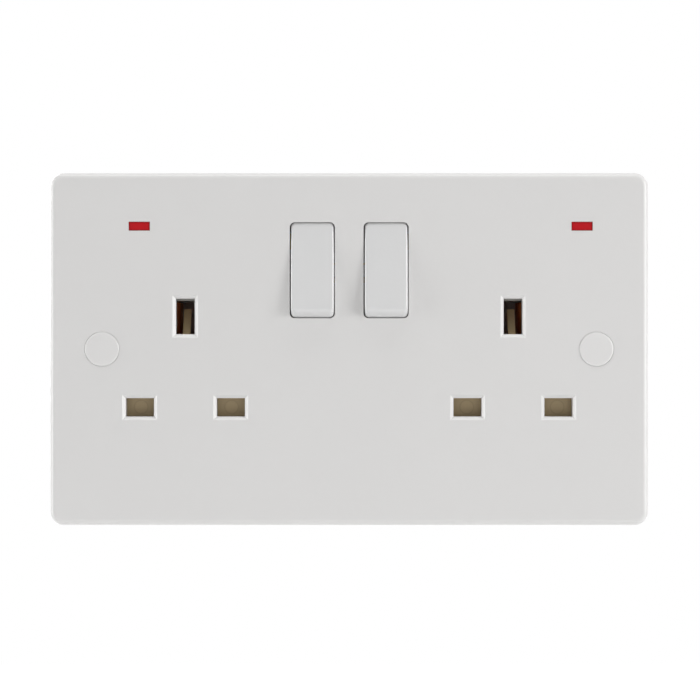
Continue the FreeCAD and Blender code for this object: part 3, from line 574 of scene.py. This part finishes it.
def plastic(name, tone, gloss, tone_change=0.02, skin_size=900.0, skin_height=0.02, **shader):
    """Plain moulded plastic of one tone."""
    material, tree, principled, place = new_material(name, **shader)
    dress(tree, principled, SKIN, place, Tone=linear(*tone), Tone_change=tone_change,
          Gloss=gloss, Skin_size=skin_size, Skin_height=skin_height)
    return material


def metal(name, tone, dull_tone, gloss, lines, dull_share=0.3, line_height=0.02):
    """Bare or plated metal, with its lines running where their vector is small."""
    material, tree, principled, place = new_material(name, Metallic=1.0)
    dress(tree, principled, WORKED, place, Tone=linear(*tone), Dull_tone=linear(*dull_tone),
          Lines=lines, Dull_share=dull_share, Gloss=gloss, Line_height=line_height)
    return material


def marked_shutter():
    """Taupe plastic with a round mark left by the mould at each power pin's place, and painted
    light on its ramp.

    The marks' places fold onto one: x = ||x| - socket| - half a pin pitch. The line is
    1 - |radius - mark| / line width, and the ramp carries painted light, lighter towards its
    foot, in place of light that reaches it down the earth slot: 1 - height / its reach.
    """
    material, tree, principled, place = new_material("shutter plastic", IOR=1.5)
    mark, line_width, line_shade, inside_shade = SHUTTER_MARK
    foot, painted_reach, painted_gain = SHUTTER_PAINTED_LIGHT
    socket_x = (PIN_X[0] + PIN_X[1]) / 2 * MM
    pin_x = (PIN_X[1] - PIN_X[0]) / 2 * MM
    apart = add(tree, "ShaderNodeSeparateXYZ", Vector=place).outputs
    x = maths(tree, "SUBTRACT", maths(tree, "ABSOLUTE", apart[0]), socket_x)
    x = maths(tree, "SUBTRACT", maths(tree, "ABSOLUTE", x), pin_x)
    z = maths(tree, "SUBTRACT", apart[2], POWER_Z * MM)
    square = maths(tree, "ADD", maths(tree, "MULTIPLY", x, x), maths(tree, "MULTIPLY", z, z))
    radius = maths(tree, "SQRT", square)
    away = maths(tree, "ABSOLUTE", maths(tree, "SUBTRACT", radius, mark * MM))
    line = maths(tree, "DIVIDE", away, line_width * MM)
    line = maths(tree, "SUBTRACT", 1.0, line, clamp=True)
    inside = maths(tree, "LESS_THAN", radius, mark * MM)
    shade = maths(tree, "MULTIPLY_ADD", line, line_shade, 1.0)
    shade = maths(tree, "MULTIPLY_ADD", inside, inside_shade, shade)
    # Painted light: the shutter's colour is made lighter towards the ramp's foot, standing in
    # for light that falls down the earth slot
    height = maths(tree, "SUBTRACT", apart[2], foot * MM)
    on_ramp = maths(tree, "GREATER_THAN", height, 0.0)
    painted_light = maths(tree, "DIVIDE", height, painted_reach * MM)
    painted_light = maths(tree, "SUBTRACT", 1.0, painted_light, clamp=True)
    painted_light = maths(tree, "MULTIPLY", on_ramp, painted_light)
    shade = maths(tree, "MULTIPLY_ADD", painted_light, painted_gain, shade)
    tone = scaled(tree, linear(173, 153, 117)[:3], shade)
    dress(tree, principled, SKIN, place, Tone=tone, Tone_change=0.12, Cloud_size=220.0,
          Gloss=0.5, Skin_size=1400.0, Skin_height=0.04)
    return material


def lens_plastic():
    """Red lens plastic that darkens towards the window's rim.

    The share of the lighter red is the distance to the nearest side or end / rim width.
    """
    material, tree, principled, place = new_material(
        "neon lens plastic", IOR=1.49, Specular_IOR_Level=0.2)
    half_width, half_height = NEON_WINDOW
    middle = (NEON["right"][0] + NEON["left"][0]) / 2 * MM
    reach = (NEON["right"][0] - NEON["left"][0]) / 2 * MM
    apart = add(tree, "ShaderNodeSeparateXYZ", Vector=place).outputs
    x = maths(tree, "ABSOLUTE", maths(tree, "SUBTRACT", apart[0], middle))
    x = maths(tree, "ABSOLUTE", maths(tree, "SUBTRACT", x, reach))
    z = maths(tree, "ABSOLUTE", maths(tree, "SUBTRACT", apart[2], NEON["left"][1] * MM))
    to_side = maths(tree, "SUBTRACT", half_width * MM, x)
    to_end = maths(tree, "SUBTRACT", half_height * MM, z)
    to_rim = maths(tree, "MINIMUM", to_side, to_end)
    share = maths(tree, "DIVIDE", to_rim, NEON_RIM * MM, clamp=True)
    tone = between(tree, share, linear(146, 8, 16), linear(184, 14, 24))
    dress(tree, principled, SKIN, place, Tone=tone, Tone_change=0.1, Cloud_size=500.0,
          Gloss=0.2, Skin_size=1500.0, Skin_height=0.01)
    return material


def lamp_glass():
    """Clear glass with a slow wave in its skin."""
    material, tree, principled, place = new_material(
        "lamp glass", IOR=1.47, Transmission_Weight=1.0)
    dress(tree, principled, SKIN, place, Tone=linear(244, 240, 232), Gloss=0.04,
          Skin_size=200.0, Skin_height=0.02)
    return material


def banded_resistor():
    """Lacquer with four colour rings, which run along both resistors in the same way.

    Each ring starts and ends at a share, which is the distance from the resistor's outer
    end / its length.
    """
    material, tree, principled, place = new_material("resistor lacquer", IOR=1.5)
    apart = add(tree, "ShaderNodeSeparateXYZ", Vector=place).outputs
    boxes = {side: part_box(side + "_neon_resistor") for side in SIDES}
    low, high = boxes["left"]
    length = high.x - low.x
    left_share = maths(tree, "DIVIDE", maths(tree, "SUBTRACT", apart[0], low.x), length)
    low, high = boxes["right"]
    right_share = maths(tree, "DIVIDE", maths(tree, "SUBTRACT", high.x, apart[0]), length)
    on_right = maths(tree, "GREATER_THAN", apart[0], 0.0)
    share = add(tree, "ShaderNodeMix", {"data_type": "FLOAT"}, _0=on_right, _2=left_share,
                _3=right_share).outputs[0]
    ramp = add(tree, "ShaderNodeValToRGB", Fac=share)
    ramp.color_ramp.interpolation = "CONSTANT"
    lacquer = (206, 178, 132)
    stops = [
        (0.14, (120, 70, 30)), (0.21, lacquer), (0.30, (30, 30, 30)), (0.37, lacquer),
        (0.46, (214, 190, 40)), (0.53, lacquer), (0.78, (196, 150, 50)), (0.85, lacquer),
    ]
    ramp.color_ramp.elements[0].color = linear(*lacquer)
    ramp.color_ramp.elements.remove(ramp.color_ramp.elements[1])
    for position, tone in stops:
        ramp.color_ramp.elements.new(position).color = linear(*tone)
    dress(tree, principled, SKIN, place, Tone=ramp.outputs[0], Tone_change=0.06,
          Cloud_size=300.0, Gloss=0.3, Skin_size=1200.0, Skin_height=0.02)
    return material


# Noise that is as fine in every direction, and so draws no lines
NO_LINES = (1.0, 1.0, 1.0)

MATERIALS = {
    "front_plate": plastic("plate plastic", (217, 216, 215), 0.3, IOR=1.5),
    "rockers": plastic("rocker plastic", (213, 213, 213), 0.24, IOR=1.5),
    "screw_caps": plastic("cap plastic", (220, 219, 218), 0.28, IOR=1.5),
    "rear_housing": plastic(
        "housing plastic", (216, 214, 208), 0.5, 0.04, 1500.0, 0.06, IOR=1.5),
    "shutters": marked_shutter(),
    "plungers": plastic("plunger nylon", (222, 219, 206), 0.42, 0.04, IOR=1.52),
    "neon_lenses": lens_plastic(),
    "lamp_glass": lamp_glass(),
    "resistors": banded_resistor(),
    "lead_wires": metal("tinned wire", (206, 207, 208), (160, 158, 154), 0.28, NO_LINES),
    "contacts": metal(
        "contact copper", (226, 160, 112), (150, 90, 56), 0.4, (0.1, 0.1, 1.0), 0.5),
    "silver_tips": metal("silver tip", (222, 222, 218), (176, 172, 162), 0.32, NO_LINES),
    "brass_bars": metal(
        "bar brass", (222, 190, 116), (164, 128, 70), 0.28, (1.0, 1.0, 0.1), 0.35),
    "brass_terminals": metal(
        "terminal brass", (224, 194, 122), (166, 132, 76), 0.3, (1.0, 0.2, 1.0), 0.3, 0.03),
    "brass_screws": metal(
        "screw brass", (228, 198, 128), (168, 134, 78), 0.26, (1.0, 0.3, 1.0)),
    "steel_screws": metal(
        "plated steel", (206, 208, 210), (150, 150, 146), 0.3, (1.0, 0.3, 1.0)),
    "springs": metal("spring wire", (188, 190, 194), (120, 118, 114), 0.25, NO_LINES),
}


def dress_frame():
    """Gives each solid of the frame its slot's material."""
    for part in frame["record"]["subparts"]:
        obj = frame["nodes"][part["node"]]
        obj.data.materials.clear()
        obj.data.materials.append(MATERIALS[part["material_slot"]])


dress_frame()


# The rocker


def rocker_outline(end_inset, face_inset):
    """Half a rocker's section as (along, outward), from its back rim to its middle.

    An arc about the pivot runs up from the rim, then a smaller arc that touches it turns in
    to the flat face. The pivot's arc shrinks by the end inset, the face sinks by its own.
    """
    arc = ROCKER_ARC - end_inset
    face = ROCKER_FACE - face_inset
    end_round = ROCKER_END_ROUND - face_inset
    centre_up = face - end_round
    centre_along = math.sqrt((arc - end_round) ** 2 - centre_up ** 2)
    lean = math.atan2(centre_up, centre_along)
    rise = np.linspace(math.asin(ROCKER_BACK / arc), lean, 10)
    turn = np.linspace(lean, math.pi / 2, 20)[1:]
    along = np.concatenate([arc * np.cos(rise), centre_along + end_round * np.cos(turn), [0.0]])
    up = np.concatenate([arc * np.sin(rise), centre_up + end_round * np.sin(turn), [face]])
    return np.stack([along, up], axis=1)


def rocker_loop(end_inset, face_inset, hollow):
    """A closed section: the outside from end to end, then the inside or the flat back."""
    half = rocker_outline(end_inset, face_inset)
    outside = np.concatenate([half * [-1, 1], half[-2::-1]])
    if hollow:
        inner_arc = ROCKER_ARC - ROCKER_WALL
        climb = np.linspace(
            math.asin(ROCKER_BACK / inner_arc), math.asin(ROCKER_ROOF / inner_arc), len(half))
        inner_half = inner_arc * np.stack([np.cos(climb), np.sin(climb)], axis=1)
    else:
        ends = np.linspace(outside[-1, 0], 0, len(half))
        inner_half = np.stack([ends, np.full(len(half), ROCKER_BACK)], axis=1)
    inside = np.concatenate([inner_half[:-1], inner_half[::-1] * [-1, 1]])
    return np.concatenate([outside, inside])


def rocker_shell():
    """The hollow cap in its own place: x across, then (along, outward) sections.

    Towards each side the face and the ends fall back as quarter rounds of their own:
    inset(x) = r - sqrt(r^2 - (|x| - (half width - r))^2) in the last r before the side.
    The right side stands a little further over, where the photograph's gap is thinner.
    """
    half = ROCKER_HALF_WIDTH
    turn = np.linspace(0, math.pi / 2, 10)
    corner_x = half - ROCKER_CORNER * (1 - np.cos(turn))
    side_x = half - ROCKER_SIDE_ROUND * (1 - np.cos(turn))
    across = np.unique(np.round(np.concatenate([corner_x, side_x]), 6))[::-1]

    def fall(x, radius):
        """How far a side's quarter round has fallen back at x."""
        past = np.clip(x - (half - radius), 0, radius)
        return radius - math.sqrt(radius ** 2 - past ** 2)

    inner = half - ROCKER_WALL
    stations = [(x, False) for x in across] + [(inner, False), (inner, True)]
    stations = [(-x, hollow) for x, hollow in stations] + stations[::-1]
    loops = [
        rocker_loop(fall(abs(x), ROCKER_CORNER), fall(abs(x), ROCKER_SIDE_ROUND), hollow)
        for x, hollow in stations]
    return weave(sections([x + ROCKER_OVER * (x > 0) for x, _ in stations], loops))


def rocker_place(points, x):
    """Turns (across, along, outward) about the pivot into the part's own frame.

    y = pivot - outward x cos(rest) + along x sin(rest), and
    z = pivot + outward x sin(rest) + along x cos(rest).
    """
    across, along, outward = np.moveaxis(np.asarray(points, float), -1, 0)
    cos, sin = math.cos(ROCKER_REST), math.sin(ROCKER_REST)
    y = ROCKER_PIVOT_DEPTH - PLATE_DEPTH - outward * cos + along * sin
    z = SWITCH_Z + outward * sin + along * cos
    return np.stack([x + across, y, z], axis=-1)


def rocker_lug(sign):
    """A side lug: a wedge from the rim that ends in a half round about the pivot."""
    places = (sign * (ROCKER_HALF_WIDTH - ROCKER_WALL), sign * ROCKER_HALF_WIDTH)
    turn = np.linspace(0, -math.pi, 21)
    foot = ROCKER_BACK + LUG_ROOT
    outline = np.concatenate([
        [[LUG_FOOT, foot]],
        np.stack([LUG_RADIUS * np.cos(turn), LUG_RADIUS * np.sin(turn)], axis=1),
        [[-LUG_FOOT, foot]],
    ])
    return weave(sections(places, (outline, outline)))


def trunnion(sign):
    """A pin on a lug, turned about the pivot's axis, with a bevelled end."""
    radius, reach, bevel, sunk = TRUNNION
    start = sign * (ROCKER_HALF_WIDTH - sunk)
    end = sign * reach
    return spun(
        [(start, NEAR_AXIS), (start, radius), (end - sign * bevel, radius),
         (end, radius - bevel), (end, NEAR_AXIS)],
        (1, 0, 0), (0, 1, 0), (0, 0, 0))


def plunger_tube():
    """The tube that guides the plunger, turned about its own axis down from the roof."""
    outer, inner, length, sunk, outer_bevel, inner_bevel = PLUNGER_TUBE
    mouth = ROCKER_ROOF - length
    return spun(
        [(ROCKER_ROOF + sunk, NEAR_AXIS), (ROCKER_ROOF + sunk, outer),
         (mouth + outer_bevel, outer), (mouth, outer - outer_bevel),
         (mouth, inner + inner_bevel), (mouth + inner_bevel, inner), (ROCKER_ROOF, inner),
         (ROCKER_ROOF, NEAR_AXIS)],
        (0, 0, 1), (1, 0, 0), (0, 0, 0))


def make_rocker(side):
    """The cap with its tube, lugs and trunnions, turned to the rest pose."""
    parts = [rocker_shell(), plunger_tube()]
    for sign in (-1, 1):
        parts += [rocker_lug(sign), trunnion(sign)]
    points, faces = stack(*parts)
    piece = make_piece(
        side + "_rocker_cap", rocker_place(points, SIDES[side] * SWITCH_X), faces,
        side + "_rocker", MATERIALS["rockers"])
    weight_normals(piece)
    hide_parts(side + "_rocker")


def weight_normals(piece):
    """Lets the large faces set the shading, so that flats stay flat beside their rounds."""
    weighted = piece.modifiers.new("weighted normals", "WEIGHTED_NORMAL")
    weighted.keep_sharp = True
    weighted.weight = 80


# Springs


def make_plunger_spring(side):
    """The coil between the rocker's roof and its plunger."""
    x = SIDES[side] * SWITCH_X
    wire = PLUNGER_SPRING[1]
    length = PLUNGER_SPRING_LENGTH
    points, faces = coil((0, 0, ROCKER_ROOF - wire), (0, 0, -1), length - 2 * wire,
                         PLUNGER_SPRING)
    plunger_spring = make_piece(
        side + "_plunger_coil", rocker_place(points, x), faces, side + "_rocker",
        MATERIALS["springs"])
    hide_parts(side + "_plunger_spring")
    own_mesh(plunger_spring)


def make_shutter_spring(side):
    """The upright coil under a shutter."""
    sign = SIDES[side]
    wire = SHUTTER_SPRING[1]
    low, high = SHUTTER_SPRING_Z
    y = SHUTTER_SPRING_DEPTH - PLATE_DEPTH
    points, faces = coil((sign * SHUTTER_SPRING_X, y, low + wire), (0, 0, 1),
                         high - low - 2 * wire, SHUTTER_SPRING)
    shutter_spring = make_piece(side + "_shutter_coil", points, faces, "socket",
                                MATERIALS["springs"])
    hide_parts(side + "_shutter_spring")
    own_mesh(shutter_spring)


# Caps, screws and marks


def make_cap(side):
    """A screw cap as an outline turned about its own axis.

    The edge is an arc from the cap's face down to the plate's, with radius
    (edge^2 + proud^2) / (2 x proud). The rim leans in behind it, so that the cap fills its
    recess at the face.
    """
    widest, proud, edge, thickness, plug, plug_end = CAP
    arc = (edge ** 2 + proud ** 2) / (2 * proud)
    turn = np.linspace(0, math.asin(edge / arc), 7)
    flat_ring = widest * 0.45
    face = [(-proud, NEAR_AXIS), (-proud, flat_ring)]
    rim = [(-proud + arc * (1 - math.cos(t)), widest - edge + arc * math.sin(t)) for t in turn]
    bevel_along, bevel_in = PLUG_BEVEL
    back = [(thickness - proud, widest - CAP_LEAN), (thickness - proud, plug),
            (plug_end - bevel_along, plug), (plug_end, plug - bevel_in), (plug_end, NEAR_AXIS)]
    points, faces = spun(face + rim + back, (0, 1, 0), (1, 0, 0),
                         (SIDES[side] * CAP_X, -PLATE_DEPTH, 0), CAP_FLATS)
    piece = make_piece(side + "_cap", points, faces, "socket",
                       MATERIALS["screw_caps"])
    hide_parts(side + "_screw_cap")


def screw(settings, head, degrees, origin):
    """A threaded shank and its head, which is turned by some degrees about the screw's axis."""
    radius, pitch, tip, seat, head_radius, head_height = settings
    angle = math.radians(degrees)
    across = (math.cos(angle), 0.0, math.sin(angle))
    return stack(threaded(radius, pitch, tip, seat + SHANK_OVERLAP, origin),
                 head(head_radius, head_height, seat, across, origin))


def make_screws():
    """The three slotted clamp screws, and the two cross-headed ones as one piece."""
    for name, x in TERMINAL_X.items():
        points, faces = screw(
            TERMINAL_SCREW, slotted_head, SLOT_TURN[name], (x, -PLATE_DEPTH, TERMINAL_Z))
        piece = make_piece(name + "_terminal_slotted_screw", points, faces,
                           name + "_terminal_screw", MATERIALS["brass_screws"])
        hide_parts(name + "_terminal_screw")

    points, faces = stack(*(
        screw(ASSEMBLY_SCREW, cross_head, CROSS_TURN[side],
              (sign * ASSEMBLY_SCREW_X, -PLATE_DEPTH, ASSEMBLY_SCREW_Z))
        for side, sign in SIDES.items()))
    piece = make_piece("assembly_screw_pair", points, faces, "socket",
                       MATERIALS["steel_screws"])
    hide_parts("assembly_screws")


def make_marks():
    """The letters and the earth sign as round ribs that stand half out of the rear wall."""
    parts = []
    for name, strokes in MARKS.items():
        for stroke in strokes:
            line = np.array([
                (TERMINAL_X[name] - right, HOUSING_BACK_Y, MARK_Z + up) for right, up in stroke])
            spans = [np.linspace(a, b, 8, endpoint=False) for a, b in zip(line, line[1:])]
            parts.append(carried(np.concatenate(spans + [line[-1:]]), MARK_RIB))
    points, faces = stack(*parts)
    make_piece("terminal_marks", points, faces, "socket",
               MATERIALS["rear_housing"])


for side_name in SIDES:
    make_rocker(side_name)
    make_plunger_spring(side_name)
    make_shutter_spring(side_name)
    make_cap(side_name)
make_screws()
make_marks()


# The room


def shown_ray(tree):
    """1 for what the camera, a reflection or glass sees, and 0 for light that falls."""
    path = tree.nodes.new("ShaderNodeLightPath").outputs
    seen = maths(tree, "MAXIMUM", path["Is Camera Ray"], path["Is Glossy Ray"])
    return maths(tree, "MAXIMUM", seen, path["Is Transmission Ray"])


def make_world():
    """A world that is white where it is seen, and lights the part with the fill alone."""
    world = bpy.data.worlds.new("studio")
    bpy.context.scene.world = world
    world.use_nodes = True
    tree = world.node_tree
    background = tree.nodes["Background"]
    background.inputs["Color"].default_value = (1.0, 1.0, 1.0, 1.0)
    strength = maths(tree, "MULTIPLY_ADD", shown_ray(tree), 1 - WORLD_FILL, WORLD_FILL)
    give(tree, strength, background.inputs["Strength"])


def make_floor():
    """Pale paper that glows where it is seen, and keeps the part's shadow."""
    axis = np.linspace(-FLOOR_SPAN, FLOOR_SPAN, 9)
    x, y = np.meshgrid(axis, axis, indexing="ij")
    grid = np.stack([x, y, np.full_like(x, FLOOR_Z)], axis=-1)
    points, faces = weave(grid, closed_columns=False, caps=False)
    mesh = bpy.data.meshes.new("floor")
    mesh.from_pydata(points, [], faces)
    mesh.flip_normals()
    floor = bpy.data.objects.new("floor", mesh)
    bpy.context.scene.collection.objects.link(floor)
    material = bpy.data.materials.new("floor paper")
    material.use_nodes = True
    tree = material.node_tree
    principled = tree.nodes["Principled BSDF"]
    principled.inputs["Base Color"].default_value = linear(232, 232, 232)
    principled.inputs["Roughness"].default_value = 0.9
    principled.inputs["Specular IOR Level"].default_value = 0.1
    principled.inputs["Emission Color"].default_value = (1.0, 1.0, 1.0, 1.0)
    glow = maths(tree, "MULTIPLY", shown_ray(tree), FLOOR_GLOW)
    give(tree, glow, principled.inputs["Emission Strength"])
    mesh.materials.append(material)


def make_lamp(name, place, size, strength):
    """A rectangular lamp that aims at the part's middle."""
    light = bpy.data.lights.new(name, "AREA")
    light.shape = "RECTANGLE"
    light.size, light.size_y = size
    light.energy = strength
    obj = bpy.data.objects.new(name, light)
    bpy.context.scene.collection.objects.link(obj)
    obj.location = place
    obj.rotation_mode = "QUATERNION"
    obj.rotation_quaternion = (-Vector(place)).to_track_quat("-Z", "Y")


def make_camera():
    """A level camera square to the plate, with lens = sensor x distance / width seen."""
    camera_data = bpy.data.cameras.new("camera")
    camera = bpy.data.objects.new("camera", camera_data)
    bpy.context.scene.collection.objects.link(camera)
    across, up = CAMERA_PLACE
    camera.location = (across, -PLATE_DEPTH * MM - CAMERA_DISTANCE, up)
    camera.rotation_euler = (math.pi / 2, 0, 0)
    camera_data.sensor_width = CAMERA_SENSOR
    camera_data.lens = CAMERA_SENSOR * CAMERA_DISTANCE / CAMERA_VIEW
    camera_data.clip_start = 0.01
    bpy.context.scene.camera = camera


make_world()
make_floor()
for lamp_name, lamp_settings in LAMPS.items():
    make_lamp(lamp_name, *lamp_settings)
make_camera()
bpy.context.scene.view_settings.view_transform = "Standard"
